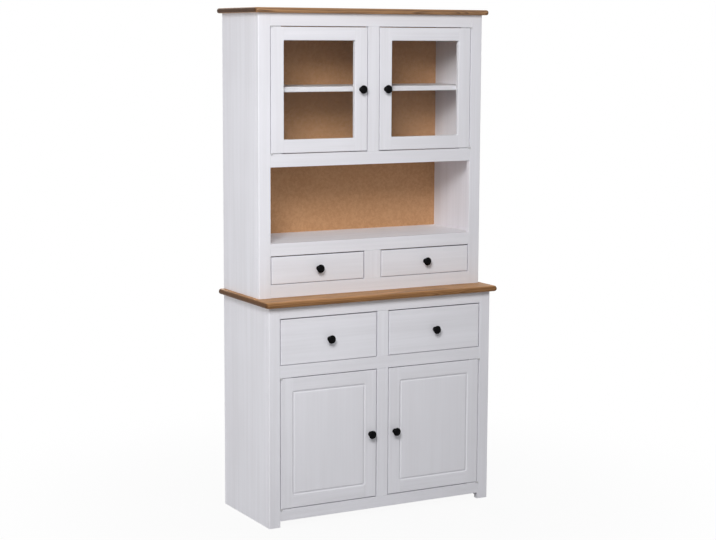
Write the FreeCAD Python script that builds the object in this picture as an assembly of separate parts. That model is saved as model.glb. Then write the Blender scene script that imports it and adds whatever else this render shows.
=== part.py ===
"""White painted highboard in two parts, a base and a hutch, with waxed pine tops.

Sizes are in millimetres. The front faces -Y, +Z is up, and the origin is on the
floor in the middle of the outline. Every piece is a solid of its own, and every
node goes to one STEP file in parts/.
"""
import FreeCAD, Part
import os

Vector = FreeCAD.Vector

# Outline of the base and the hutch
body_width = 900.0
base_depth = 374.0
hutch_depth = 296.0

# Waxed tops
base_top_thickness = 20.0
hutch_top_thickness = 18.0
top_side_overhang = 20.0
base_top_front_overhang = 26.0
hutch_top_front_overhang = 22.0
top_corner_radius = 14.0
top_upper_round_share = 0.5
top_lower_round_share = 0.45

# Heights of the base from the floor up: rails and openings
toe_gap = 22.0
base_bottom_rail = 40.0
base_door_opening = 468.5
base_middle_rail = 43.5
base_drawer_opening = 164.5
base_top_rail = 41.5

# Heights of the hutch from the base top up: rails and openings
hutch_bottom_rail = 46.0
hutch_drawer_opening = 100.5
niche_rail = 43.5
niche_opening = 265.0
cabinet_rail = 45.0
glass_door_opening = 438.0
hutch_top_rail = 44.0

# Face frames
frame_thickness = 20.0
base_stile_width = 42.5
hutch_stile_width = 45.5
base_door_mullion = 45.5
base_drawer_mullion = 45.0
hutch_drawer_mullion = 66.0
glass_door_mullion = 45.0
corner_ease = 3.0
frame_ease = 1.2
seam_bevel = 1.0
tenon_length = 20.0
tenon_thickness = 8.0
tenon_shoulder = 7.0
mullion_tenon_length = 10.0
mortise_end_gap = 1.0

# Carcass boards
side_thickness = 18.0
floor_thickness = 18.0
shelf_thickness = 18.0
divider_thickness = 18.0
housing_depth = 5.0
back_thickness = 4.0
back_rebate = 10.0
shelf_end_gap = 1.0
shelf_setback = 12.0
shelf_edge_radius = 2.0
base_shelf_rise = 220.0
hutch_shelf_rise = 211.0

# Shelf pins and the dowels that locate the hutch on the base
pin_radius = 2.5
pin_depth = 10.0
pin_reach = 9.0
pin_seat_cut = 0.6
pin_inset = 50.0
dowel_radius = 4.0
dowel_depth_in_top = 12.0
dowel_depth_in_side = 20.0
round_fit = 0.05

# Doors
reveal = 3.0
door_thickness = 20.0
door_ease = 2.0
glass_door_stile = 49.0
glass_door_rail = 46.0
base_door_stile = 48.5
base_door_rail = 49.0
door_tenon_length = 24.0
door_tenon_shoulder = 8.0
door_tenon_setback = 6.5
door_tenon_thickness = 8.0
sight_chamfer = 2.0
sight_corner_radius = 5.0
glass_lip = 6.0
glass_thickness = 4.0
glass_rebate = 8.0
glass_edge_gap = 1.0
bead_bevel = 3.0

# Flush door panels with a V groove round them
v_groove_flank = 5.0
v_groove_depth = 2.5
panel_drop = 0.5
panel_field_gap = 0.8
panel_field_radius = 6.0
panel_shoulder_radius = 2.0
panel_groove_depth = 9.0
panel_edge_gap = 1.0

# Knife hinges let into the ends of the doors and into the rails
hinge_leaf_length = 40.0
hinge_leaf_width = 12.0
hinge_leaf_setback = 4.0
hinge_leaf_thickness = 2.5
hinge_arm_width = 6.0
hinge_eye_radius = 2.5
hinge_eye_clearance = 0.4
hinge_pin_radius = 1.25
hinge_leaf_gap = 0.1

# Magnetic catches
catch_length = 46.0
catch_height = 14.0
catch_depth = 15.0
catch_bevel = 2.0
catch_from_mullion = 12.0
catch_air = 0.4
strike_thickness = 1.0
strike_length = 36.0
strike_height = 12.0

# Drawers
drawer_front_thickness = 20.0
drawer_front_ease = 3.0
drawer_side_reveal = 3.5
drawer_top_reveal = 4.0
drawer_bottom_reveal = 1.5
drawer_side_thickness = 14.0
drawer_side_ease = 2.0
drawer_back_thickness = 12.0
drawer_bottom_thickness = 4.0
drawer_bottom_rise = 9.0
drawer_groove_depth = 5.0
drawer_bottom_gap = 0.5
drawer_side_gap = 4.0
drawer_lower_gap = 10.0
drawer_upper_gap = 22.0
drawer_back_drop = 6.0
drawer_rear_gap = 12.0
drawer_tongue_length = 6.0
drawer_tongue_thickness = 6.0

# Wooden runners that the drawer sides hang on
runner_height = 16.0
runner_engagement = 6.0
runner_groove_depth = 7.0
runner_play = 0.3
runner_bevel = 1.5

# Knobs
knob_neck_radius = 7.0
knob_neck_height = 13.0
knob_head_radius = 15.0
knob_underside_height = 3.5
knob_rim_height = 4.5
knob_front_radius = 9.0
knob_bevel_height = 4.0

# Heights and planes that follow from the sizes above
base_door_bottom = toe_gap + base_bottom_rail
base_door_top = base_door_bottom + base_door_opening
base_drawer_bottom = base_door_top + base_middle_rail
base_drawer_top = base_drawer_bottom + base_drawer_opening
base_head = base_drawer_top + base_top_rail
base_height = base_head + base_top_thickness
hutch_drawer_bottom = base_height + hutch_bottom_rail
hutch_drawer_top = hutch_drawer_bottom + hutch_drawer_opening
niche_bottom = hutch_drawer_top + niche_rail
niche_top = niche_bottom + niche_opening
glass_door_bottom = niche_top + cabinet_rail
glass_door_top = glass_door_bottom + glass_door_opening
hutch_head = glass_door_top + hutch_top_rail
back = (base_depth + base_top_front_overhang) / 2
base_face = back - base_depth
hutch_face = back - hutch_depth
outer = body_width / 2
inner = outer - side_thickness
base_edge = outer - base_stile_width
hutch_edge = outer - hutch_stile_width
back_front = back - back_thickness

nodes = {}


# Shared operations
def box(x0, x1, y0, y1, z0, z1):
    """A rectangular piece between the given limits."""
    return Part.makeBox(x1 - x0, y1 - y0, z1 - z0, Vector(x0, y0, z0))


def rod(radius, x, y, z, length, direction):
    """A round bar that starts at a point and runs along a direction."""
    return Part.makeCylinder(radius, length, Vector(x, y, z), direction)


def mirrored(shape):
    """The same piece on the other side of the middle plane."""
    return shape.mirror(Vector(0, 0, 0), Vector(1, 0, 0))


def edges_at(shape, places):
    """The straight edges whose two ends lie at one of the given sets of x, y or z."""
    chosen = []
    for place in places:
        for edge in shape.Edges:
            ends = [vertex.Point for vertex in edge.Vertexes]
            if all(abs(getattr(end, axis) - value) < 0.001 for end in ends for axis, value in place.items()):
                chosen.append(edge)
    return chosen


def ease(shape, radius, *places):
    """Round the edges at the given places."""
    return shape.makeFillet(radius, edges_at(shape, places))


def bevel(shape, size, *places):
    """Cut the edges at the given places to a flat."""
    return shape.makeChamfer(size, edges_at(shape, places))


def cut_all(shape, tools):
    """Take every tool away from a piece."""
    for tool in tools:
        shape = shape.cut(tool)
    return shape.removeSplitter()


def joined(shape, *others):
    """One solid from parts that are in truth one piece."""
    for other in others:
        shape = shape.fuse(other)
    return shape.removeSplitter()


def rounded_outline(x0, x1, z0, z1, radius, y):
    """A closed rectangle with round corners, in a plane across the depth."""
    k = radius * (1 - 0.5 ** 0.5)
    points = [Vector(x0 + radius, y, z0), Vector(x1 - radius, y, z0),
              Vector(x1, y, z0 + radius), Vector(x1, y, z1 - radius),
              Vector(x1 - radius, y, z1), Vector(x0 + radius, y, z1),
              Vector(x0, y, z1 - radius), Vector(x0, y, z0 + radius)]
    corners = [Vector(x1 - k, y, z0 + k), Vector(x1 - k, y, z1 - k),
               Vector(x0 + k, y, z1 - k), Vector(x0 + k, y, z0 + k)]
    edges = []
    for side in range(4):
        start, end, following = points[2 * side], points[2 * side + 1], points[(2 * side + 2) % 8]
        edges.append(Part.makeLine(start, end))
        edges.append(Part.Arc(end, corners[side], following).toShape())
    return Part.Wire(edges)


def node(name, *pieces):
    """Keep the pieces of one node under its name."""
    nodes[name] = list(pieces)


# Tops
def waxed_top(face, bottom, thickness, front_overhang):
    """A pine top with a rounded nose on its front and sides and a square back."""
    half = outer + top_side_overhang
    front = face - front_overhang
    board = box(-half, half, front, back, bottom, bottom + thickness)
    board = ease(board, top_corner_radius, dict(x=-half, y=front), dict(x=half, y=front))
    rounds = ((bottom + thickness, top_upper_round_share), (bottom, top_lower_round_share))
    for height, share in rounds:
        nose = []
        for edge in board.Edges:
            ends = [vertex.Point for vertex in edge.Vertexes]
            level = all(abs(end.z - height) < 0.001 for end in ends)
            behind = all(abs(end.y - back) < 0.001 for end in ends)
            if level and not behind:
                nose.append(edge)
        board = board.makeFillet(share * thickness, nose)
    return board


# Face frames
def rail_tenons(face, edge, bottom, height, extra):
    """The bar that a rail's two end tenons belong to; extra makes the mortise deeper."""
    middle = face + frame_thickness / 2
    reach = edge + tenon_length + extra
    return box(-reach, reach, middle - tenon_thickness / 2, middle + tenon_thickness / 2,
               bottom + tenon_shoulder, bottom + height - tenon_shoulder)


def mullion_tenons(face, width, bottom, top, extra):
    """The bar that a mullion's upper and lower tenons belong to."""
    middle = face + frame_thickness / 2
    half = width / 2 - tenon_shoulder
    reach = mullion_tenon_length + extra
    return box(-half, half, middle - tenon_thickness / 2, middle + tenon_thickness / 2,
               bottom - reach, top + reach)


def face_frame(face, edge, foot, head, rail_levels, mullion_levels):
    """Stiles whose inner edges are at -edge and edge, rails and mullions, with mortise and tenon joints."""
    behind = face + frame_thickness
    stile = box(-outer, -edge, face, behind, foot, head)
    stile = ease(stile, corner_ease, dict(x=-outer, y=face))
    stile = ease(stile, frame_ease, dict(x=-edge, y=face))
    stile = bevel(stile, seam_bevel, dict(x=-outer, y=behind))
    stile = cut_all(stile, [rail_tenons(face, edge, z, h, mortise_end_gap) for z, h in rail_levels])
    rails = []
    for z, height in rail_levels:
        rail = box(-edge, edge, face, behind, z, z + height)
        rail = ease(rail, frame_ease, dict(y=face, z=z), dict(y=face, z=z + height))
        rail = joined(rail, rail_tenons(face, edge, z, height, 0))
        mortises = [mullion_tenons(face, w, low, high, mortise_end_gap) for w, low, high in mullion_levels]
        rails.append(cut_all(rail, mortises))
    mullions = []
    for width, low, high in mullion_levels:
        post = box(-width / 2, width / 2, face, behind, low, high)
        post = ease(post, frame_ease, dict(x=-width / 2, y=face), dict(x=width / 2, y=face))
        mullions.append(joined(post, mullion_tenons(face, width, low, high, 0)))
    return [stile, mirrored(stile)], rails, mullions


# Carcass boards
def housed_board(face, top):
    """A level board let into both sides, its front against the face frame."""
    reach = inner + housing_depth
    return box(-reach, reach, face + frame_thickness, back_front, top - floor_thickness, top)


def back_panel(bottom, top):
    """A thin back that lies in the rebates of the two sides."""
    reach = inner + back_rebate
    return box(-reach, reach, back_front, back, bottom, top)


def side_board(face, foot, head, boards, holes):
    """A left side with its housings, back rebate and holes."""
    front = face + frame_thickness
    board = bevel(box(-outer, -inner, front, back, foot, head), seam_bevel, dict(x=-outer, y=front))
    rebate = box(-inner - back_rebate, -inner, back_front, back, foot, head)
    return cut_all(board, list(boards) + [rebate] + list(holes))


def loose_shelf(face, underside):
    """A shelf that lies on its pins, eased along the front edge."""
    reach = inner - shelf_end_gap
    front = face + frame_thickness + shelf_setback
    top = underside + shelf_thickness
    board = box(-reach, reach, front, back_front - shelf_end_gap, underside, top)
    return ease(board, shelf_edge_radius, dict(y=front, z=underside), dict(y=front, z=top))


def pin_places(face):
    """Depths of the front and rear shelf pins."""
    return (face + frame_thickness + shelf_setback + pin_inset, back_front - pin_inset)


def pin_height(underside):
    """Height of a shelf pin's axis, so that its flat seat meets the shelf."""
    return underside - pin_radius + pin_seat_cut


def shelf_pin(y, underside):
    """A left pin: round in the side, with a flat seat under the shelf."""
    length = pin_depth + pin_reach
    pin = rod(pin_radius - round_fit, -inner - pin_depth, y, pin_height(underside), length, Vector(1, 0, 0))
    seat = box(-inner, -inner + pin_reach, y - pin_radius, y + pin_radius, underside, underside + pin_radius)
    return pin.cut(seat)


def pin_hole(y, underside):
    """The hole that a left pin sits in."""
    return rod(pin_radius, -inner - pin_depth, y, pin_height(underside), pin_depth, Vector(1, 0, 0))


def dowel(radius):
    """A dowel between the base top and the left side of the hutch, half way along the side."""
    length = dowel_depth_in_top + dowel_depth_in_side
    x = -outer + (side_thickness - housing_depth) / 2
    y = (hutch_face + frame_thickness + back) / 2
    return rod(radius, x, y, base_height - dowel_depth_in_top, length, Vector(0, 0, 1))


# Knobs
def knob(x, face, z):
    """A turned knob on a front: straight neck, flared head, rim and bevelled front."""
    rim_bottom = knob_neck_height + knob_underside_height
    rim_top = rim_bottom + knob_rim_height
    tip = rim_top + knob_bevel_height
    outline = ((0, 0), (knob_neck_radius, 0), (knob_neck_radius, knob_neck_height),
               (knob_head_radius, rim_bottom), (knob_head_radius, rim_top),
               (knob_front_radius, tip), (0, tip), (0, 0))
    profile = Part.makePolygon([Vector(x + radius, face - height, z) for radius, height in outline])
    return Part.Face(profile).revolve(Vector(x, face, z), Vector(0, 1, 0), 360)


# Hinges
def knife_hinge(side, face, edge, rail_level, away):
    """Rail leaf with its pin and door leaf with its eye, at a stile's inner edge.

    Side is -1 for a left door, and away is +1 where the rail is above the door.
    """
    door_edge = side * (edge - reveal)
    axis_x = side * (edge - reveal / 2)
    axis_y = face - hinge_eye_radius - hinge_eye_clearance
    middle = rail_level - away * reveal / 2
    rail_plane = middle + away * hinge_leaf_gap / 2
    door_plane = middle - away * hinge_leaf_gap / 2
    plate_front = face + hinge_leaf_setback
    plate_back = plate_front + hinge_leaf_width

    def leaf(start, direction):
        """A flat plate with an arm to the round eye in front of the door."""
        z0, z1 = sorted((start, start + direction * hinge_leaf_thickness))
        plate_x = sorted((door_edge, door_edge - side * hinge_leaf_length))
        arm_x = sorted((axis_x, axis_x - side * hinge_arm_width))
        plate = box(plate_x[0], plate_x[1], plate_front, plate_back, z0, z1)
        arm = box(arm_x[0], arm_x[1], axis_y, plate_back, z0, z1)
        eye = rod(hinge_eye_radius, axis_x, axis_y, z0, z1 - z0, Vector(0, 0, 1))
        return joined(plate, arm, eye)

    towards_door = Vector(0, 0, -away)
    pin_length = hinge_leaf_gap + hinge_leaf_thickness
    pin = rod(hinge_pin_radius, axis_x, axis_y, rail_plane, pin_length, towards_door)
    bore = rod(hinge_pin_radius + round_fit, axis_x, axis_y, door_plane, hinge_leaf_thickness, towards_door)
    rail_leaf = joined(leaf(rail_plane, away), pin)
    door_leaf = leaf(door_plane, -away).cut(bore)
    return rail_leaf, door_leaf


def hinge_pair(side, face, edge, bottom, top):
    """The lower and the upper hinge of one door."""
    return [knife_hinge(side, face, edge, bottom, -1), knife_hinge(side, face, edge, top, 1)]


# Magnetic catches
def catch(side, face, mullion, board, direction):
    """A catch on a board behind a door's free corner; direction is +1 above the board."""
    door_back = face + door_thickness
    front = door_back + strike_thickness + catch_air
    near = mullion / 2 + catch_from_mullion
    x0, x1 = sorted((side * near, side * (near + catch_length)))
    z0, z1 = sorted((board, board + direction * catch_height))
    body = box(x0, x1, front, front + catch_depth, z0, z1)
    return bevel(body, catch_bevel, dict(x=x0, y=front + catch_depth), dict(x=x1, y=front + catch_depth))


def strike(side, face, mullion, board, direction):
    """The steel plate on the door that a catch holds."""
    door_back = face + door_thickness
    middle = side * (mullion / 2 + catch_from_mullion + catch_length / 2)
    level = board + direction * (reveal + strike_height / 2)
    return box(middle - strike_length / 2, middle + strike_length / 2,
               door_back, door_back + strike_thickness,
               level - strike_height / 2, level + strike_height / 2)


# Doors
def door_frame(x0, x1, face, z0, z1, stile, rail, hidden, chamfer, depth, leaves):
    """Two stiles and two tenoned rails, chamfered along the sight edge to a width and a depth."""
    behind = face + door_thickness
    left, right = x0 + stile, x1 - stile
    low, high = z0 + rail, z1 - rail
    tenon_front = face + door_tenon_setback
    tenon_back = tenon_front + door_tenon_thickness

    def tenon(bottom, top, extra):
        """The bar that a rail's two tenons belong to."""
        reach = door_tenon_length + extra
        return box(left - reach, right + reach, tenon_front, tenon_back, bottom, top)

    spans = ((z0 + door_tenon_shoulder, low - hidden), (high + hidden, z1 - door_tenon_shoulder))
    wide = rounded_outline(left - chamfer, right + chamfer, low - chamfer, high + chamfer,
                           sight_corner_radius + chamfer, face)
    narrow = rounded_outline(left, right, low, high, sight_corner_radius, face + depth)
    router = Part.makeLoft([wide, narrow], True, True)
    mortises = [tenon(bottom, top, mortise_end_gap) for bottom, top in spans]
    left_stile = ease(box(x0, left, face, behind, z0, z1), door_ease,
                      dict(x=x0, y=face), dict(y=face, z=z0), dict(y=face, z=z1))
    right_stile = ease(box(right, x1, face, behind, z0, z1), door_ease,
                       dict(x=x1, y=face), dict(y=face, z=z0), dict(y=face, z=z1))
    stiles = [cut_all(piece, mortises + [router] + leaves) for piece in (left_stile, right_stile)]
    rails = []
    for (bottom, top), span, edge in (((z0, low), spans[0], z0), ((high, z1), spans[1], z1)):
        bar = ease(box(left, right, face, behind, bottom, top), door_ease, dict(y=face, z=edge))
        rails.append(cut_all(joined(bar, tenon(span[0], span[1], 0)), [router]))
    return stiles + rails, (left, right, low, high)


def flush_panel(left, right, low, high):
    """A panel with a tongue all round and a field that is nearly flush with the door's frame."""
    tongue_front = base_face + door_tenon_setback
    reach = panel_groove_depth - panel_edge_gap
    tongue = box(left - reach, right + reach, tongue_front, tongue_front + door_tenon_thickness,
                 low - reach, high + reach)

    def outline(inset, radius, y):
        """The field's outline at one depth."""
        return rounded_outline(left + inset, right - inset, low + inset, high - inset, radius, y)

    groove_floor = base_face + v_groove_depth
    crest = outline(panel_field_gap + v_groove_flank, panel_field_radius, base_face + panel_drop)
    shoulder = outline(panel_field_gap, panel_shoulder_radius, groove_floor)
    flanks = Part.makeLoft([crest, shoulder], True, True)
    step = Part.Face(shoulder).extrude(Vector(0, tongue_front - groove_floor, 0))
    return joined(tongue, step, flanks)


def panel_door(prefix, x0, x1, side, hinges):
    """A base door with a flush panel whose tongue is held in a groove."""
    z0, z1 = base_door_bottom + reveal, base_door_top - reveal
    leaves = [door_leaf for rail_leaf, door_leaf in hinges]
    frame, sight = door_frame(x0, x1, base_face, z0, z1, base_door_stile, base_door_rail,
                              panel_groove_depth, v_groove_flank, v_groove_depth, leaves)
    left, right, low, high = sight
    front = base_face + door_tenon_setback
    groove = box(left - panel_groove_depth, right + panel_groove_depth, front, front + door_tenon_thickness,
                 low - panel_groove_depth, high + panel_groove_depth)
    panel = flush_panel(left, right, low, high)
    stiles = [piece.cut(groove) for piece in frame[:2]]
    rails = [piece.cut(groove) for piece in frame[2:]]
    plate = strike(side, base_face, base_door_mullion, base_door_top, -1)
    node(prefix + "_frame", *(stiles + rails))
    node(prefix + "_panel", panel)
    node(prefix + "_hinge_leaves", *(leaves + [plate]))
    knob_x = side * (base_door_mullion / 2 + reveal + base_door_stile / 2)
    node(prefix + "_knob", knob(knob_x, base_face, (z0 + z1) / 2))


def glass_door(prefix, x0, x1, side, hinges):
    """A hutch door with a pane held in a rear rebate by wooden beads."""
    z0, z1 = glass_door_bottom + reveal, glass_door_top - reveal
    leaves = [door_leaf for rail_leaf, door_leaf in hinges]
    frame, sight = door_frame(x0, x1, hutch_face, z0, z1, glass_door_stile, glass_door_rail,
                              glass_rebate, sight_chamfer, sight_chamfer, leaves)
    left, right, low, high = sight
    shoulder = hutch_face + glass_lip
    behind = hutch_face + door_thickness
    rebate = box(left - glass_rebate, right + glass_rebate, shoulder, behind,
                 low - glass_rebate, high + glass_rebate)
    frame = [piece.cut(rebate) for piece in frame]
    reach = glass_rebate - glass_edge_gap
    pane = box(left - reach, right + reach, shoulder, shoulder + glass_thickness, low - reach, high + reach)
    bead_front = shoulder + glass_thickness
    beads = []
    for bottom, top, edge in ((low - glass_rebate, low, low), (high, high + glass_rebate, high)):
        bead = box(left - glass_rebate, right + glass_rebate, bead_front, behind, bottom, top)
        beads.append(bevel(bead, bead_bevel, dict(y=behind, z=edge)))
    for start, end, edge in ((left - glass_rebate, left, left), (right, right + glass_rebate, right)):
        bead = box(start, end, bead_front, behind, low, high)
        beads.append(bevel(bead, bead_bevel, dict(x=edge, y=behind)))
    plate = strike(side, hutch_face, glass_door_mullion, glass_door_bottom, 1)
    node(prefix + "_frame", *frame)
    node(prefix + "_pane", pane)
    node(prefix + "_beads", *beads)
    node(prefix + "_hinge_leaves", *(leaves + [plate]))
    knob_x = side * (glass_door_mullion / 2 + reveal + glass_door_stile / 2)
    node(prefix + "_knob", knob(knob_x, hutch_face, (z0 + z1) / 2))


# Drawers and their runners
def drawer(prefix, x0, x1, face, z0, z1):
    """An inset drawer in the given opening: front, box and knob."""
    behind = face + drawer_front_thickness
    end = back_front - drawer_rear_gap
    low, high = z0 + drawer_lower_gap, z1 - drawer_upper_gap
    left, right = x0 + drawer_side_gap, x1 - drawer_side_gap
    fx0, fx1 = x0 + drawer_side_reveal, x1 - drawer_side_reveal
    fz0, fz1 = z0 + drawer_bottom_reveal, z1 - drawer_top_reveal
    middle_x, middle_z = (fx0 + fx1) / 2, (fz0 + fz1) / 2
    floor = low + drawer_bottom_rise
    floor_top = floor + drawer_bottom_thickness
    front = ease(box(fx0, fx1, face, behind, fz0, fz1), drawer_front_ease,
                 dict(x=fx0, y=face), dict(x=fx1, y=face), dict(y=face, z=fz0), dict(y=face, z=fz1))
    channel_half = runner_height / 2 + runner_play
    channel_middle = (low + high) / 2
    sides = []
    sockets = []
    for outside, inward in ((left, 1), (right, -1)):
        inside = outside + inward * drawer_side_thickness
        tongue = inside - inward * drawer_tongue_thickness
        xs = sorted((outside, inside))
        body = ease(box(xs[0], xs[1], behind, end, low, high), drawer_side_ease,
                    dict(x=xs[0], z=high), dict(x=xs[1], z=high))
        ts = sorted((tongue, inside))
        socket = box(ts[0], ts[1], behind - drawer_tongue_length, behind, low, high - drawer_side_ease)
        sockets.append(socket)
        body = joined(body, socket)
        cs = sorted((outside, outside + inward * runner_groove_depth))
        channel = box(cs[0], cs[1], behind, end,
                      channel_middle - channel_half, channel_middle + channel_half)
        gs = sorted((inside - inward * drawer_groove_depth, inside))
        groove = box(gs[0], gs[1], behind - drawer_tongue_length, end, floor, floor_top)
        sides.append(cut_all(body, [channel, groove]))
    inner_left = left + drawer_side_thickness
    inner_right = right - drawer_side_thickness
    front_groove = box(inner_left - drawer_groove_depth, inner_right + drawer_groove_depth,
                       behind - drawer_tongue_length, behind, floor, floor_top)
    front = cut_all(front, sockets + [front_groove])
    rear = box(inner_left, inner_right, end - drawer_back_thickness, end, floor_top, high - drawer_back_drop)
    reach = drawer_groove_depth - drawer_bottom_gap
    bottom = box(inner_left - reach, inner_right + reach,
                 behind - drawer_tongue_length + drawer_bottom_gap, end, floor, floor_top)
    node(prefix + "_front", front)
    node(prefix + "_box", *(sides + [rear, bottom]))
    node(prefix + "_knob", knob(middle_x, face, middle_z))


def runner_pair(x0, face, edge, z0, z1):
    """The two left-hand runners of a drawer that starts at the stile's edge and ends at x0."""
    middle = (z0 + drawer_lower_gap + z1 - drawer_upper_gap) / 2
    low, high = middle - runner_height / 2, middle + runner_height / 2
    front = face + frame_thickness
    outer_tip = -edge + drawer_side_gap + runner_engagement
    inner_tip = x0 - drawer_side_gap - runner_engagement
    outer_bar = bevel(box(-inner, outer_tip, front, back_front, low, high), runner_bevel,
                      dict(x=outer_tip, z=low), dict(x=outer_tip, z=high))
    inner_bar = bevel(box(inner_tip, -divider_thickness / 2, front, back_front, low, high), runner_bevel,
                      dict(x=inner_tip, z=low), dict(x=inner_tip, z=high))
    return [outer_bar, inner_bar]


# Base
base_rail_levels = ((toe_gap, base_bottom_rail), (base_door_top, base_middle_rail),
                    (base_drawer_top, base_top_rail))
base_mullion_levels = ((base_door_mullion, base_door_bottom, base_door_top),
                       (base_drawer_mullion, base_drawer_bottom, base_drawer_top))
stiles, rails, mullions = face_frame(base_face, base_edge, 0, base_head,
                                     base_rail_levels, base_mullion_levels)
base_hinges = {side: hinge_pair(side, base_face, base_edge, base_door_bottom, base_door_top)
               for side in (-1, 1)}
base_rail_leaves = [parts[0] for pair in base_hinges.values() for parts in pair]
node("base_stiles", *stiles)
node("base_rails", *[cut_all(rail, base_rail_leaves) for rail in rails])
node("base_mullions", *mullions)
base_floor = housed_board(base_face, base_door_bottom)
base_deck = housed_board(base_face, base_door_top + floor_thickness)
base_shelf_underside = base_door_bottom + base_shelf_rise
base_pin_holes = [pin_hole(y, base_shelf_underside) for y in pin_places(base_face)]
base_side = side_board(base_face, 0, base_head, [base_floor, base_deck], base_pin_holes)
node("base_left_side", base_side)
node("base_right_side", mirrored(base_side))
node("base_floor", base_floor)
node("base_deck", base_deck)
node("base_shelf", loose_shelf(base_face, base_shelf_underside))
node("base_back_panel", back_panel(toe_gap, base_head))
dowel_holes = [dowel(dowel_radius), mirrored(dowel(dowel_radius))]
base_top = waxed_top(base_face, base_head, base_top_thickness, base_top_front_overhang)
node("base_top", cut_all(base_top, dowel_holes))

# Hutch
hutch_rail_levels = ((base_height, hutch_bottom_rail), (hutch_drawer_top, niche_rail),
                     (niche_top, cabinet_rail), (glass_door_top, hutch_top_rail))
hutch_mullion_levels = ((hutch_drawer_mullion, hutch_drawer_bottom, hutch_drawer_top),
                        (glass_door_mullion, glass_door_bottom, glass_door_top))
stiles, rails, mullions = face_frame(hutch_face, hutch_edge, base_height, hutch_head,
                                     hutch_rail_levels, hutch_mullion_levels)
hutch_hinges = {side: hinge_pair(side, hutch_face, hutch_edge, glass_door_bottom, glass_door_top)
                for side in (-1, 1)}
hutch_rail_leaves = [parts[0] for pair in hutch_hinges.values() for parts in pair]
node("hutch_stiles", *stiles)
node("hutch_rails", *[cut_all(rail, hutch_rail_leaves) for rail in rails])
node("hutch_mullions", *mullions)
hutch_bottom = housed_board(hutch_face, base_height + floor_thickness)
niche_floor = housed_board(hutch_face, niche_bottom)
cabinet_floor = housed_board(hutch_face, glass_door_bottom)
hutch_shelf_underside = glass_door_bottom + hutch_shelf_rise
hutch_holes = [pin_hole(y, hutch_shelf_underside) for y in pin_places(hutch_face)] + dowel_holes
hutch_boards = [hutch_bottom, niche_floor, cabinet_floor]
hutch_side = side_board(hutch_face, base_height, hutch_head, hutch_boards, hutch_holes)
node("hutch_left_side", hutch_side)
node("hutch_right_side", mirrored(hutch_side))
node("hutch_bottom_board", hutch_bottom)
node("hutch_niche_floor", niche_floor)
node("hutch_cabinet_floor", cabinet_floor)
node("hutch_shelf", loose_shelf(hutch_face, hutch_shelf_underside))
node("hutch_back_panel", back_panel(base_height, hutch_head))
node("hutch_top", waxed_top(hutch_face, hutch_head, hutch_top_thickness, hutch_top_front_overhang))

# Fittings shared by both parts
pins = [shelf_pin(y, base_shelf_underside) for y in pin_places(base_face)]
pins = pins + [shelf_pin(y, hutch_shelf_underside) for y in pin_places(hutch_face)]
node("shelf_pins", *(pins + [mirrored(pin) for pin in pins]))
left_dowel = dowel(dowel_radius - round_fit)
node("hutch_dowels", left_dowel, mirrored(left_dowel))
node("hinge_rail_leaves", *(base_rail_leaves + hutch_rail_leaves))
half_divider = divider_thickness / 2
node("drawer_dividers",
     box(-half_divider, half_divider, base_face + frame_thickness, back_front,
         base_door_top + floor_thickness, base_head),
     box(-half_divider, half_divider, hutch_face + frame_thickness, back_front,
         base_height + floor_thickness, niche_bottom - floor_thickness))
runners = runner_pair(-base_drawer_mullion / 2, base_face, base_edge, base_drawer_bottom, base_drawer_top)
runners = runners + runner_pair(-hutch_drawer_mullion / 2, hutch_face, hutch_edge,
                                hutch_drawer_bottom, hutch_drawer_top)
node("drawer_runners", *(runners + [mirrored(bar) for bar in runners]))
catches = []
for side in (-1, 1):
    catches.append(catch(side, base_face, base_door_mullion, base_door_top, -1))
    catches.append(catch(side, hutch_face, glass_door_mullion, glass_door_bottom, 1))
node("magnetic_catches", *catches)

# Doors
for side, name in ((-1, "left"), (1, "right")):
    limits = sorted((side * (base_edge - reveal), side * (base_door_mullion / 2 + reveal)))
    panel_door(name + "_base_door", limits[0], limits[1], side, base_hinges[side])
    limits = sorted((side * (hutch_edge - reveal), side * (glass_door_mullion / 2 + reveal)))
    glass_door(name + "_glass_door", limits[0], limits[1], side, hutch_hinges[side])

# Drawers
for side, name in ((-1, "left"), (1, "right")):
    limits = sorted((side * base_edge, side * base_drawer_mullion / 2))
    drawer(name + "_base_drawer", limits[0], limits[1], base_face, base_drawer_bottom, base_drawer_top)
    limits = sorted((side * hutch_edge, side * hutch_drawer_mullion / 2))
    drawer(name + "_hutch_drawer", limits[0], limits[1], hutch_face, hutch_drawer_bottom, hutch_drawer_top)

# One file per node
os.makedirs("parts", exist_ok=True)
for name, pieces in nodes.items():
    solids = [solid for piece in pieces for solid in piece.Solids]
    shape = solids[0] if len(solids) == 1 else Part.makeCompound(solids)
    shape.exportStep("parts/" + name + ".step")
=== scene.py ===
"""Looks of the highboard: painted pine, waxed tops, glass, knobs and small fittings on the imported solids.

Lengths are in metres in the part's own frame: the front faces -Y, +Z is up, and the origin is on the floor.
"""
import math

import bmesh
import bpy
from mathutils import Matrix, Vector


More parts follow.
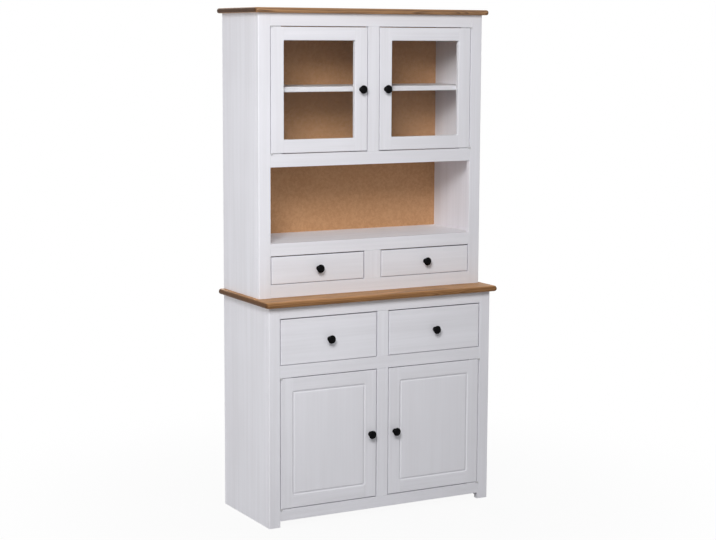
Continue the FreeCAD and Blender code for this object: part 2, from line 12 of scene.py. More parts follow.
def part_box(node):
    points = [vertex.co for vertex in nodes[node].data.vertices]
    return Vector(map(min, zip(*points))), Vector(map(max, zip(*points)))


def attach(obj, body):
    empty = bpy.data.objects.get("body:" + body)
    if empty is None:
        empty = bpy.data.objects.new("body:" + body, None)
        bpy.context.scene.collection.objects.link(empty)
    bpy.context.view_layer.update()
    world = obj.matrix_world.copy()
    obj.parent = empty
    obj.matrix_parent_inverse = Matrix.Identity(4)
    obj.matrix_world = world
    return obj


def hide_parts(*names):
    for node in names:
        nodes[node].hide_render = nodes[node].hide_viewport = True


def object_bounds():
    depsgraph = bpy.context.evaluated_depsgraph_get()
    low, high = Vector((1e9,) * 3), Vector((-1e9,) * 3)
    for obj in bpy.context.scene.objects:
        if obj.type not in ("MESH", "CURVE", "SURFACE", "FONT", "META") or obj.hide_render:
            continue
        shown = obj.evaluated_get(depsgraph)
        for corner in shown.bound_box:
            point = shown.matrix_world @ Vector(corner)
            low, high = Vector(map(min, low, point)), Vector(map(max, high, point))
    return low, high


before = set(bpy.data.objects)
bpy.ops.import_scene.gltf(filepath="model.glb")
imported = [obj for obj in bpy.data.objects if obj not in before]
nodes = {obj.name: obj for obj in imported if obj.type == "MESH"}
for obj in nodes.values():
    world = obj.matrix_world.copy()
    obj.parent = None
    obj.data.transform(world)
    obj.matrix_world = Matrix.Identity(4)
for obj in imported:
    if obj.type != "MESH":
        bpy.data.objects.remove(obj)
solid_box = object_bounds()
scene = bpy.context.scene
scene.view_settings.view_transform = "Standard"

# Axes, and the directions that fittings face
X, Y, Z = 0, 1, 2
forwards = (0, -1, 0)
backwards = (0, 1, 0)

# Camera, fitted to edges and corners in the photograph
camera_lens = 84.894
camera_sensor = 36.0
camera_place = Vector((-2.9253, -5.32685, 1.6952))
camera_yaw = math.radians(28.7125)
camera_pitch = math.radians(-7.7971)
camera_roll = math.radians(0.2561)

# Lamps: place, width and power in watts
lamps = {
    "key": ((-2.2, -2.9, 3.0), 1.2, 91.0),
    "front": ((-0.65, -1.9, 1.8), 1.1, 6.9),
    "side": ((-3.4, 0.3, 1.0), 1.6, 22.0),
    "right": ((3.4, 1.6, 1.6), 1.6, 36.0),
    "rear": ((0.6, 3.4, 2.0), 1.8, 38.0),
}
ambient = 0.27

# Floor, of which a share is seen as plain white: floor_glow near the part, and all of it past floor_fade
floor_white = 0.4
floor_roughness = 0.8
floor_glow = 0.94
floor_fade = (0.4, 1.8)
floor_reach = 15.0
floor_drop = 0.0004

# Colours, in linear light
paint_light = (0.876, 0.872, 0.924)
paint_shade = (0.818, 0.812, 0.858)
panel_light = (0.866, 0.862, 0.912)
panel_shade = (0.836, 0.83, 0.878)
# Inner floors and decks: the same paint made whiter and matt, painted light that brightens the niche floor
# and shelves
brightened_inside_light = (0.94, 0.94, 0.98)
brightened_inside_shade = (0.9, 0.9, 0.94)
paint_rubbed = (0.72, 0.69, 0.64)
pine_early = (0.7, 0.365, 0.155)
pine_late = (0.14, 0.066, 0.028)
# End grain of the base top: darker for the stain it soaks up, and darker still as painted shade
pine_end_and_shade = (0.085, 0.036, 0.014)
pine_knot = (0.12, 0.05, 0.022)
# Dull grey towards which the hutch top's nose and sides are darkened: painted shade
hutch_nose_grey = (0.06, 0.068, 0.076)
# End grain of the hutch top: darker for its stain, and darker still as painted shade
hutch_end_and_shade = (0.036, 0.012, 0.005)
bare_early = (0.74, 0.56, 0.36)
bare_late = (0.58, 0.38, 0.2)
bare_end = (0.55, 0.37, 0.21)
bare_knot = (0.3, 0.15, 0.07)
board_light = (0.595, 0.334, 0.172)
board_dark = (0.5, 0.264, 0.124)
knob_black = (0.0022, 0.0021, 0.0025)
# White enamel of the hinges greyed: painted shade of the door gaps they sit in
hinge_coat_shaded = (0.62, 0.62, 0.63)
zinc = (0.62, 0.62, 0.6)
plastic_white = (0.82, 0.82, 0.8)
plastic_aged = (0.78, 0.77, 0.72)
# Glass tint, darker than the glass alone as painted shade for the light that the shadowless panes let
# inside
glass_tint_and_shade = (0.81, 0.81, 0.8)

# Pattern of the pine: planks cut from logs, with rings about a pith and with knots
# Late wood is in shares of a ring, and sway and knots along and across are in repeats per metre
wax_plank = 0.094
bare_plank = 0.2
wax_roughness = 0.4
bare_roughness = 0.6
# How far the nose and sides of each top are darkened as they turn from upward: painted shade
base_nose_shade = 0.6
hutch_nose_shade = 0.42
plank_shift = 9.0
pith_depth = 0.018
pith_spread = 0.05
ring_pitch = 0.0065
late_rise = (0.25, 0.86)
late_fall = (1.0, 0.9)
sway_along = 1.3
sway_across = 9.0
sway_depth = 0.05
knots_along = 2.6
knots_across = 7.0
knot_reach = 0.3
knot_rim = (0.075, 0.045)
knot_bulge = 0.02
seam_width = 0.0007

# How far in from its two sides a node's outer pieces reach
base_door_stile = 0.0485
glass_door_stile = 0.049
bead_width = 0.008
drawer_side = 0.014

# Knobs, with the screw and washer behind them
knob_radius = 0.015
knob_height = 0.025
knob_head_level = 0.0185
knob_head_start = math.radians(-50)
knob_head_steps = 25
knob_underside = 0.003
knob_neck = 0.0066
knob_neck_steps = 15
knob_foot = 0.0088
knob_foot_rim = 0.001
screw_radius = 0.0042
screw_height = 0.0024
recess_arm = 0.0021
recess_half_width = 0.00045
washer_radius = 0.0062
washer_height = 0.0008

# Magnetic catches
catch_rounding = 0.0014
ear_length = 0.01
ear_height = 0.004
ear_overlap = 0.001
ear_inset = 0.002
ear_rounding = 0.0009
ear_screw_radius = 0.0034
ear_screw_height = 0.0016
pole_thickness = 0.0022
pole_offset = 0.0035
pole_inset = 0.003
pole_depth = 0.004
pole_rounding = 0.0003

# Screws of the strike plates, and pins
strike_screw_inset = 0.007
strike_screw_radius = 0.003
strike_screw_height = 0.0014
back_tolerance = 0.0001
bead_pin_radius = 0.0011
bead_pin_height = 0.0005
bead_pin_rim = 0.0003
bead_pin_inset = 0.3 * bead_width
bead_pin_shares = (-0.8, -0.27, 0.27, 0.8)
panel_pin_radius = 0.0022
panel_pin_height = 0.0005
panel_pin_spacing = 0.14
panel_pin_inset = 0.005

# Edges of new pieces that turn by more than this are drawn sharp
sharp_angle = math.radians(38)


class Shader:
    """A material and short calls that add nodes to it."""

    def __init__(self, name):
        self.material = bpy.data.materials.new(name)
        self.material.use_nodes = True
        self.tree = self.material.node_tree
        self.surface = self.tree.nodes["Principled BSDF"]

    def feed(self, socket, value):
        """Link a socket to another, or set its value."""
        if isinstance(value, bpy.types.NodeSocket):
            self.tree.links.new(value, socket)
        elif isinstance(value, tuple) and len(value) == 3 and socket.type == "RGBA":
            socket.default_value = value + (1.0,)
        else:
            socket.default_value = value

    def node(self, kind, inputs, **settings):
        """A node with its settings made and its inputs fed."""
        item = self.tree.nodes.new(kind)
        for key, value in settings.items():
            setattr(item, key, value)
        for key, value in inputs.items():
            self.feed(item.inputs[key], value)
        return item

    def maths(self, operation, first, second=0.0):
        """The result of one sum on two numbers."""
        return self.node("ShaderNodeMath", {0: first, 1: second}, operation=operation).outputs[0]

    def blend(self, *shares):
        """The sum of numbers, each times its share."""
        total = 0.0
        for value, share in shares:
            inputs = {0: value, 1: share, 2: total}
            total = self.node("ShaderNodeMath", inputs, operation="MULTIPLY_ADD").outputs[0]
        return total

    def place(self):
        """The point being shaded, in the part's frame, moving with its body."""
        return self.node("ShaderNodeTexCoord", {}).outputs["Object"]

    def normal(self):
        """The direction that the surface faces."""
        return self.node("ShaderNodeNewGeometry", {}).outputs["Normal"]

    def parts(self, vector):
        """The x, y and z of a vector."""
        return self.node("ShaderNodeSeparateXYZ", {0: vector}).outputs

    def vector(self, x, y, z):
        """A vector from three numbers."""
        return self.node("ShaderNodeCombineXYZ", {0: x, 1: y, 2: z}).outputs[0]

    def stretched(self, along, lengthwise, crosswise):
        """The point, scaled so that a pattern is drawn out along one axis."""
        scale = [crosswise, crosswise, crosswise]
        scale[along] = lengthwise
        item = self.node("ShaderNodeVectorMath", {0: self.place(), 1: tuple(scale)}, operation="MULTIPLY")
        return item.outputs[0]

    def noise(self, vector, scale=1.0, detail=3.0, roughness=0.5):
        """Smooth noise between 0 and 1."""
        inputs = {"Vector": vector, "Scale": scale, "Detail": detail, "Roughness": roughness}
        return self.node("ShaderNodeTexNoise", inputs).outputs[0]

    def between(self, value, low, high, start=0.0, end=1.0):
        """A number taken smoothly from one range to another, without going past its ends."""
        inputs = {"Value": value, "From Min": low, "From Max": high, "To Min": start, "To Max": end}
        return self.node("ShaderNodeMapRange", inputs, interpolation_type="SMOOTHSTEP").outputs[0]

    def mix(self, share, first, second):
        """Two colours mixed by a share of the second."""
        item = self.node("ShaderNodeMix", {0: share, 6: first, 7: second}, data_type="RGBA")
        return item.outputs[2]

    def stain(self, colour, mask, strength, second):
        """A colour stained with a second one where a mask is 1."""
        return self.mix(self.maths("MULTIPLY", mask, strength), colour, second)

    def bump(self, height, depth, strength):
        """Relief of a given depth, on the shader's normal."""
        item = self.node("ShaderNodeBump", {"Height": height, "Distance": depth, "Strength": strength})
        self.feed(self.surface.inputs["Normal"], item.outputs[0])

    def edges(self, radius):
        """A mask that is 1 along sharp edges."""
        rounded = self.node("ShaderNodeBevel", {"Radius": radius}, samples=4).outputs[0]
        flat = self.normal()
        likeness = self.node("ShaderNodeVectorMath", {0: rounded, 1: flat}, operation="DOT_PRODUCT")
        return self.between(likeness.outputs["Value"], 0.995, 0.8)

    def finish(self, colour, roughness, **values):
        """Feed the shader and hand over the material."""
        self.feed(self.surface.inputs["Base Color"], colour)
        self.feed(self.surface.inputs["Roughness"], roughness)
        for name, value in values.items():
            self.feed(self.surface.inputs[name.replace("_", " ")], value)
        return self.material


def scaled(colour, share):
    """A darker or lighter colour of the same hue."""
    return tuple(share * part for part in colour)


# Paint, with pattern scales in repeats per metre
def painted_pine(name, along, light=paint_light, shade=paint_shade, gloss=0.1, grain=0.5):
    """Satin white paint, with the grain of the pine under it showing through."""
    shader = Shader(name)
    figure = shader.noise(shader.stretched(along, lengthwise=1.5, crosswise=38.0), detail=3.0)
    streaks = shader.noise(shader.stretched(along, lengthwise=2.5, crosswise=130.0), detail=3.0)
    fibres = shader.noise(shader.stretched(along, lengthwise=9.0, crosswise=420.0),
                          detail=4.0, roughness=0.6)
    brush = shader.noise(shader.stretched(along, lengthwise=4.0, crosswise=900.0), detail=2.0)
    clouds = shader.noise(shader.place(), scale=3.0, detail=2.0)
    tone = shader.blend((figure, 0.42), (streaks, 0.23), (clouds, 0.35))
    colour = shader.mix(shader.between(tone, 0.38, 0.62), shade, light)
    wear = shader.maths("MULTIPLY", shader.edges(0.0016), shader.between(fibres, 0.42, 0.7))
    colour = shader.stain(colour, wear, 0.5, paint_rubbed)
    relief = shader.blend((figure, 0.3), (streaks, 0.25), (fibres, 0.3), (brush, 0.15))
    shader.bump(relief, depth=0.0005, strength=grain)
    roughness = shader.between(fibres, 0.3, 0.7, start=0.42, end=0.56)
    return shader.finish(colour, roughness, Specular_IOR_Level=gloss)


# Pine
def third_axis(along, across):
    """The axis that is neither of two others."""
    return X + Y + Z - along - across


def plank_place(shader, point, along, across, level, plank):
    """A point's plank, its place lengthwise, sideways and upward from the pith, and its plank's tone."""
    number = shader.maths("FLOOR", shader.maths("DIVIDE", point[across], plank))
    own = shader.node("ShaderNodeTexWhiteNoise", {"W": number}, noise_dimensions="1D").outputs
    chance = shader.parts(own["Color"])
    middle = shader.maths("MULTIPLY", shader.maths("ADD", number, 0.5), plank)
    pith = shader.maths("MULTIPLY", shader.maths("SUBTRACT", chance[0], 0.5), plank)
    sideways = shader.maths("SUBTRACT", shader.maths("SUBTRACT", point[across], middle), pith)
    depth = shader.maths("ADD", shader.maths("MULTIPLY", chance[1], pith_spread), pith_depth - level)
    upward = shader.maths("ADD", point[third_axis(along, across)], depth)
    lengthwise = shader.maths("ADD", point[along], shader.maths("MULTIPLY", chance[2], plank_shift))
    return number, lengthwise, sideways, upward, own["Value"]


def knot_distance(shader, number, lengthwise, sideways):
    """How far a point is from the nearest knot's middle, in the spacing of the knots."""
    spot = shader.vector(shader.maths("MULTIPLY", lengthwise, knots_along),
                         shader.maths("MULTIPLY", sideways, knots_across), number)
    spots = shader.node("ShaderNodeTexVoronoi", {"Vector": spot, "Scale": 1.0, "Randomness": 1.0})
    return spots.outputs["Distance"]


def late_wood(shader, lengthwise, sideways, upward, near_knot):
    """The dark late part of each ring about the pith, with rings that sway and bend round knots."""
    slow = shader.vector(shader.maths("MULTIPLY", lengthwise, sway_along),
                         shader.maths("MULTIPLY", sideways, sway_across),
                         shader.maths("MULTIPLY", upward, sway_across))
    sway = shader.maths("SUBTRACT", shader.noise(slow, detail=2.0), 0.5)
    squared = shader.maths("ADD", shader.maths("POWER", sideways, 2.0), shader.maths("POWER", upward, 2.0))
    radius = shader.maths("ADD", shader.maths("SQRT", squared), shader.maths("MULTIPLY", sway, sway_depth))
    radius = shader.maths("ADD", radius, shader.maths("MULTIPLY", near_knot, knot_bulge))
    year = shader.maths("FRACT", shader.maths("DIVIDE", radius, ring_pitch))
    return shader.maths("MULTIPLY", shader.between(year, *late_rise), shader.between(year, *late_fall))


def pine(name, along, across, level, colours, plank, roughness, nose_shade):
    """Pine from round logs: rings about a pith, fibres and knots; nose and sides darkened as painted shade;
    end grain darker, on the tops partly painted shade.
    """
    early, late, end, knot, edge = colours
    shader = Shader(name)
    point = shader.parts(shader.place())
    number, lengthwise, sideways, upward, own_tone = plank_place(shader, point, along, across, level, plank)
    from_knot = knot_distance(shader, number, lengthwise, sideways)
    near_knot = shader.between(from_knot, knot_reach, 0.0)
    rings = late_wood(shader, lengthwise, sideways, upward, near_knot)

    fibres = shader.noise(shader.stretched(along, lengthwise=11.0, crosswise=520.0),
                          detail=4.0, roughness=0.65)
    bands = shader.noise(shader.stretched(along, lengthwise=3.5, crosswise=30.0), detail=4.0, roughness=0.6)
    streaks = shader.noise(shader.stretched(along, lengthwise=12.0, crosswise=150.0), detail=3.0)
    late_share = shader.maths("MULTIPLY", rings, shader.between(fibres, 0.25, 0.75, start=0.45, end=0.95))
    colour = shader.mix(late_share, early, late)
    plank_tone = shader.blend((own_tone, 0.2), (shader.between(bands, 0.38, 0.62), 0.35),
                              (shader.between(streaks, 0.4, 0.62), 0.35))
    colour = shader.mix(plank_tone, colour, scaled(early, 0.45))
    colour = shader.stain(colour, shader.between(from_knot, *knot_rim), 0.85, knot)
    seam = shader.between(shader.maths("PINGPONG", point[across], plank / 2), seam_width, 0.0)
    colour = shader.stain(colour, seam, 0.55, late)
    # Faces that turn from upward, the nose and sides of a top, are darkened: painted shade
    normal = shader.parts(shader.normal())
    rounded = shader.between(shader.maths("ABSOLUTE", normal[third_axis(along, across)]), 0.97, 0.6)
    colour = shader.stain(colour, rounded, nose_shade, edge)
    # End grain is darker: its own colour on bare pine, and on the waxed tops partly painted shade
    end_grain = shader.between(shader.maths("ABSOLUTE", normal[along]), 0.35, 0.85)
    colour = shader.stain(colour, end_grain, 0.8, end)

    relief = shader.blend((rings, 0.5), (fibres, 0.4), (seam, -1.0))
    shader.bump(relief, depth=0.0004, strength=0.5)
    varied = shader.between(fibres, 0.2, 0.8, start=roughness - 0.07, end=roughness + 0.08)
    return shader.finish(colour, varied, Specular_IOR_Level=0.06)


# Other materials
def back_board():
    """Brown hardboard, mottled by flecks of pressed fibre."""
    shader = Shader("back_board")
    mottle = shader.noise(shader.place(), scale=95.0, detail=4.0, roughness=0.65)
    fleck = shader.noise(shader.place(), scale=420.0, detail=3.0)
    clouds = shader.noise(shader.place(), scale=5.0, detail=3.0)
    tone = shader.blend((mottle, 0.5), (fleck, 0.25), (clouds, 0.25))
    colour = shader.mix(shader.between(tone, 0.38, 0.62), board_dark, board_light)
    shader.bump(fleck, depth=0.0002, strength=0.5)
    roughness = shader.between(fleck, 0.3, 0.7, start=0.5, end=0.65)
    return shader.finish(colour, roughness, Specular_IOR_Level=0.25)


def clear_glass():
    """Float glass, tinted darker to paint the shade that the panes, which cast no shadow, would throw
    inside.
    """
    shader = Shader("clear_glass")
    return shader.finish(glass_tint_and_shade, roughness=0.02, Transmission_Weight=1.0, IOR=1.15)


def satin_black():
    """Black powder coat with a fine orange peel."""
    shader = Shader("satin_black")
    peel = shader.noise(shader.place(), scale=900.0, detail=2.0)
    clouds = shader.noise(shader.place(), scale=160.0, detail=3.0)
    colour = shader.mix(shader.between(clouds, 0.35, 0.75), knob_black, scaled(knob_black, 2.2))
    shader.bump(peel, depth=0.00015, strength=0.4)
    roughness = shader.between(clouds, 0.3, 0.7, start=0.28, end=0.4)
    return shader.finish(colour, roughness, Specular_IOR_Level=0.04)


def coated_steel():
    """White enamel on steel, greyed as painted shade of the door gaps, a little rubbed at the edges."""
    shader = Shader("coated_steel")
    peel = shader.noise(shader.place(), scale=700.0, detail=2.0)
    clouds = shader.noise(shader.place(), scale=90.0, detail=3.0)
    colour = shader.mix(shader.between(clouds, 0.35, 0.7), hinge_coat_shaded, scaled(hinge_coat_shaded, 0.88))
    colour = shader.stain(colour, shader.edges(0.0004), 0.35, zinc)
    shader.bump(peel, depth=0.0001, strength=0.4)
    roughness = shader.between(clouds, 0.3, 0.7, start=0.33, end=0.45)
    return shader.finish(colour, roughness, Specular_IOR_Level=0.2)


def zinc_steel():
    """Zinc plated steel with a fine spangle."""
    shader = Shader("zinc_steel")
    spangle = shader.noise(shader.place(), scale=420.0, detail=4.0)
    colour = shader.mix(shader.between(spangle, 0.35, 0.65), scaled(zinc, 0.78), zinc)
    shader.bump(spangle, depth=0.0001, strength=0.3)
    roughness = shader.between(spangle, 0.3, 0.7, start=0.28, end=0.42)
    return shader.finish(colour, roughness, Metallic=1.0)


def moulded_plastic():
    """White moulded plastic with a fine spark-eroded texture."""
    shader = Shader("moulded_plastic")
    grain = shader.noise(shader.place(), scale=1600.0, detail=2.0)
    clouds = shader.noise(shader.place(), scale=60.0, detail=2.0)
    colour = shader.mix(shader.between(clouds, 0.4, 0.75), plastic_white, plastic_aged)
    shader.bump(grain, depth=0.00008, strength=0.5)
    roughness = shader.between(grain, 0.3, 0.7, start=0.4, end=0.52)
    return shader.finish(colour, roughness)


# Mesh building
def stood_at(place, direction):
    """The matrix that stands a shape made along +Z at a place, along a direction."""
    turn = Vector((0, 0, 1)).rotation_difference(Vector(direction)).to_matrix().to_4x4()
    return Matrix.Translation(place) @ turn


def add_turned(mesh, outline, place, direction, segments=48):
    """Turn an outline of (radius, height) pairs about a line through a place."""
    matrix = stood_at(place, direction)
    rings = []
    for radius, height in outline:
        count = segments if radius > 0 else 1
        angles = [2 * math.pi * step / count for step in range(count)]
        points = [Vector((radius * math.cos(angle), radius * math.sin(angle), height)) for angle in angles]
        rings.append([mesh.verts.new(matrix @ point) for point in points])
    for lower, upper in zip(rings, rings[1:]):
        for step in range(segments):
            after = step + 1
            corners = [lower[step % len(lower)], lower[after % len(lower)],
                       upper[after % len(upper)], upper[step % len(upper)]]
            mesh.faces.new(list(dict.fromkeys(corners)))


def add_block(mesh, low, high, radius, segments=3):
    """A block between two corners with rounded edges."""
    size = Vector(high) - Vector(low)
    matrix = Matrix.Translation((Vector(low) + Vector(high)) / 2) @ Matrix.Diagonal(size).to_4x4()
    made = bmesh.ops.create_cube(mesh, size=1.0, matrix=matrix)
    edges = list({edge for vertex in made["verts"] for edge in vertex.link_edges})
    bmesh.ops.bevel(mesh, geom=edges, offset=radius, segments=segments, profile=0.5, affect="EDGES")


def cross_recess(angle):
    """Radius of a cross recess in a screw head at an angle."""
    folded = (angle + math.pi / 4) % (math.pi / 2) - math.pi / 4
    across = abs(math.sin(folded))
    end = recess_arm / math.cos(folded)
    return end if end * across < recess_half_width else recess_half_width / across


def add_screw(mesh, place, direction, radius=screw_radius, height=screw_height, segments=64):
    """A pan head with a cross recess, sitting on a surface."""
    matrix = stood_at(place, direction)
    angles = [2 * math.pi * (step + 0.5) / segments for step in range(segments)]
    head = [(radius * 0.96, 0.0), (radius, height * 0.25), (radius * 0.94, height * 0.6),
            (radius * 0.78, height * 0.87), (radius * 0.6, height)]
    rings = [[(reach, level) for angle in angles] for reach, level in head]
    rings.append([(cross_recess(angle), height) for angle in angles])
    rings.append([(0.8 * cross_recess(angle), height * 0.35) for angle in angles])
    made = []
    for ring in rings:
        points = [Vector((reach * math.cos(angle), reach * math.sin(angle), level))
                  for (reach, level), angle in zip(ring, angles)]
        made.append([mesh.verts.new(matrix @ point) for point in points])
    for lower, upper in zip(made, made[1:]):
        for step in range(segments):
            after = (step + 1) % segments
            mesh.faces.new([lower[step], lower[after], upper[after], upper[step]])
    mesh.faces.new(made[-1])
    mesh.faces.new(list(reversed(made[0])))


def piece(mesh, name, material, body, stands_for=None):
    """A new object that moves with a body and takes the material it is given."""
    bmesh.ops.recalc_face_normals(mesh, faces=mesh.faces)
    data = bpy.data.meshes.new(name)
    mesh.to_mesh(data)
    mesh.free()
    data.shade_smooth()
    data.set_sharp_from_angle(angle=sharp_angle)
    data.materials.append(material)
    shown = bpy.data.objects.new(name, data)
    scene.collection.objects.link(shown)
    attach(shown, body)
    if stands_for:
        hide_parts(stands_for)


# Dressing of the solids
def dress(name, *materials, choose=None):
    """Give a solid its material, or two of which the second goes where choose holds for a face's middle."""
    data = nodes[name].data
    data.materials.clear()
    for material in materials:
        data.materials.append(material)
    if choose:
        for face in data.polygons:
            face.material_index = int(choose(face.center))


def between_sides(name, margin):
    """A test for points of a node that are away from its two sides."""
    low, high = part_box(name)
    return lambda point: low.x + margin < point.x < high.x - margin


def behind_frame(door):
    """A test for points of a door's fittings that lie behind its frame, as the strike plate does."""
    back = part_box(door + "_frame")[1].y
    return lambda point: point.y > back - back_tolerance


def dress_solids(looks):
    """All solids but those that a new piece stands for."""
    upright, level = looks["upright"], looks["level"]
    for part in ("base", "hutch"):
        for name in ("left_side", "right_side", "stiles", "mullions"):
            dress(part + "_" + name, upright)
        dress(part + "_rails", level)
        dress(part + "_shelf", level)
        dress(part + "_back_panel", looks["board"])
        dress(part + "_top", looks[part + "_top"])
    for name in ("base_floor", "base_deck", "hutch_bottom_board", "hutch_niche_floor",
                 "hutch_cabinet_floor"):
        dress(name, looks["inside"])
    dress("drawer_dividers", looks["deep"])
    dress("drawer_runners", looks["bare_deep"])
    dress("hutch_dowels", looks["bare_upright"])
    dress("shelf_pins", looks["zinc"])
    dress("hinge_rail_leaves", looks["coated"])
    for side in ("left", "right"):
        base_door = side + "_base_door"
        glass_door = side + "_glass_door"
        for door, stile in ((base_door, base_door_stile), (glass_door, glass_door_stile)):
            dress(door + "_frame", upright, level, choose=between_sides(door + "_frame", stile))
            dress(door + "_hinge_leaves", looks["coated"], looks["zinc"], choose=behind_frame(door))
        dress(base_door + "_panel", looks["panel"])
        beads = glass_door + "_beads"
        dress(beads, upright, level, choose=between_sides(beads, bead_width))
        dress(glass_door + "_pane", looks["glass"])
        # Panes cast no shadow; the darker glass tint paints their shade inside instead
        nodes[glass_door + "_pane"].visible_shadow = False
        for kind in ("base", "hutch"):
            drawer = side + "_" + kind + "_drawer"
            dress(drawer + "_front", level)
            dress(drawer + "_box", looks["bare_deep"], looks["bare_level"],
                  choose=between_sides(drawer + "_box", drawer_side))


# Knobs with their screws
def knob_outline():
    """Foot, hollowed neck and domed head, from the front it sits on to the tip."""
    dome = knob_height - knob_head_level
    neck_top = knob_head_level + knob_underside * math.sin(knob_head_start)
    foot_flare = knob_foot - knob_neck
    head_flare = knob_radius * math.cos(knob_head_start) - knob_neck
    outline = [(0.0, 0.0), (knob_foot, 0.0), (knob_foot, knob_foot_rim)]
    for step in range(1, knob_neck_steps):
        share = step / knob_neck_steps
        radius = knob_neck + foot_flare * (1 - share) ** 3 + head_flare * share ** 4
        outline.append((radius, knob_foot_rim + (neck_top - knob_foot_rim) * share))
    for step in range(knob_head_steps):
        angle = knob_head_start + (math.pi / 2 - knob_head_start) * step / knob_head_steps
        rise = dome if angle > 0 else knob_underside
        outline.append((knob_radius * math.cos(angle), knob_head_level + rise * math.sin(angle)))
    outline.append((0.0, knob_height))
    return outline


def knobs(black, steel):
    """A knob on every door and drawer, and the screw and washer behind it."""
    fronts = {"base_door": "frame", "glass_door": "frame", "base_drawer": "front", "hutch_drawer": "front"}
    washer = [(0.0, 0.0), (washer_radius, 0.0), (washer_radius, washer_height), (0.0, washer_height)]
    for side in ("left", "right"):
        for kind, carrier in fronts.items():
            body = side + "_" + kind
            low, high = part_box(body + "_knob")
            place = Vector(((low.x + high.x) / 2, high.y, (low.z + high.z) / 2))
            mesh = bmesh.new()
            add_turned(mesh, knob_outline(), place, forwards, segments=64)
            piece(mesh, body + "_turned_knob", black, body, body + "_knob")
            behind = Vector((place.x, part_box(body + "_" + carrier)[1].y, place.z))
            mesh = bmesh.new()
            add_turned(mesh, washer, behind, backwards)
            add_screw(mesh, behind + Vector((0, washer_height, 0)), backwards)
            piece(mesh, body + "_knob_screw", steel, body)


# Magnetic catches
def vertex_box(name, test):
    """Lowest and highest corner of the points of a node that meet a test."""
    points = [vertex.co for vertex in nodes[name].data.vertices if test(vertex.co)]
    low = Vector([min(point[axis] for point in points) for axis in range(3)])
    high = Vector([max(point[axis] for point in points) for axis in range(3)])
    return low, high


def in_quarter(left, lower):
    """A test for points on one side of the part, and above or below its waist."""
    low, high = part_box("base_top")
    waist = (low.z + high.z) / 2
    return lambda point: (point.x < 0) == left and (point.z < waist) == lower


def add_catch(housings, metal, low, high, hangs):
    """A magnet block between two screwed ears, with two pole plates in front, under or on its board."""
    board = high.z if hangs else low.z
    away = -1 if hangs else 1
    ear_face = board + away * ear_height
    ear_low, ear_high = sorted((board, ear_face))
    start, end = low.x + ear_length, high.x - ear_length
    add_block(housings, (start, low.y + pole_thickness / 3, low.z), (end, high.y, high.z), catch_rounding)
    for ear_start, ear_end in ((low.x, start + ear_overlap), (end - ear_overlap, high.x)):
        add_block(housings, (ear_start, low.y + ear_inset, ear_low),
                  (ear_end, high.y - ear_inset, ear_high), ear_rounding)
        spot = Vector(((ear_start + ear_end) / 2, (low.y + high.y) / 2, ear_face))
        add_screw(metal, spot, (0, 0, away), ear_screw_radius, ear_screw_height)
    middle = (low.z + high.z) / 2
    for offset in (-pole_offset, pole_offset):
        add_block(metal, (start + pole_inset, low.y, middle + offset - pole_thickness / 2),
                  (end - pole_inset, low.y + pole_depth, middle + offset + pole_thickness / 2),
                  pole_rounding, segments=2)


def catches(plastic, steel):
    """A detailed catch in the box of every plain one."""
    housings = bmesh.new()
    metal = bmesh.new()
    for left in (True, False):
        for lower in (True, False):
            low, high = vertex_box("magnetic_catches", in_quarter(left, lower))
            add_catch(housings, metal, low, high, hangs=lower)
    piece(housings, "catch_housings", plastic, "carcass", "magnetic_catches")
    piece(metal, "catch_plates_and_screws", steel, "carcass")


# Small fastenings on the backs of the doors and on the back panels
def strike_screws(steel):
    """Two screws in the steel plate that each door's catch holds."""
    for door in ("left_base_door", "right_base_door", "left_glass_door", "right_glass_door"):
        low, high = vertex_box(door + "_hinge_leaves", behind_frame(door))
        mesh = bmesh.new()
        for x in (low.x + strike_screw_inset, high.x - strike_screw_inset):
            spot = Vector((x, high.y, (low.z + high.z) / 2))
            add_screw(mesh, spot, backwards, strike_screw_radius, strike_screw_height)
        piece(mesh, door + "_strike_screws", steel, door)


def bead_pins(steel):
    """Pins that hold the beads behind each pane."""
    head = [(0.0, 0.0), (bead_pin_radius, 0.0), (bead_pin_radius, bead_pin_rim),
            (bead_pin_radius * 0.6, bead_pin_height), (0.0, bead_pin_height)]
    for door in ("left_glass_door", "right_glass_door"):
        low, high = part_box(door + "_beads")
        middle_x, middle_z = (low.x + high.x) / 2, (low.z + high.z) / 2
        reach_x = (high.x - low.x) / 2 - bead_pin_inset
        reach_z = (high.z - low.z) / 2 - bead_pin_inset
        mesh = bmesh.new()
        for share in bead_pin_shares:
            for side in (-1, 1):
                for x, z in ((share * reach_x, side * reach_z), (side * reach_x, share * reach_z)):
                    spot = (middle_x + x, high.y, middle_z + z)
                    add_turned(mesh, head, spot, backwards, segments=12)
        piece(mesh, door + "_bead_pins", steel, door)


def panel_pins(steel):
    """Flat-headed pins round the edge of both back panels."""
    mesh = bmesh.new()
    head = [(0.0, 0.0), (panel_pin_radius, 0.0), (panel_pin_radius, panel_pin_height * 0.6),
            (panel_pin_radius * 0.7, panel_pin_height), (0.0, panel_pin_height)]
    for name in ("base_back_panel", "hutch_back_panel"):
        low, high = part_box(name)
        left, right = low.x + panel_pin_inset, high.x - panel_pin_inset
        bottom, top = low.z + panel_pin_inset, high.z - panel_pin_inset
        across = round((right - left) / panel_pin_spacing)
        upward = round((top - bottom) / panel_pin_spacing)
        spots = [(left + (right - left) * step / across, z)
                 for step in range(across + 1) for z in (bottom, top)]
        spots += [(x, bottom + (top - bottom) * step / upward)
                  for step in range(1, upward) for x in (left, right)]
        for x, z in spots:
            add_turned(mesh, head, (x, high.y, z), backwards, segments=16)
    piece(mesh, "back_panel_pins", steel, "carcass")


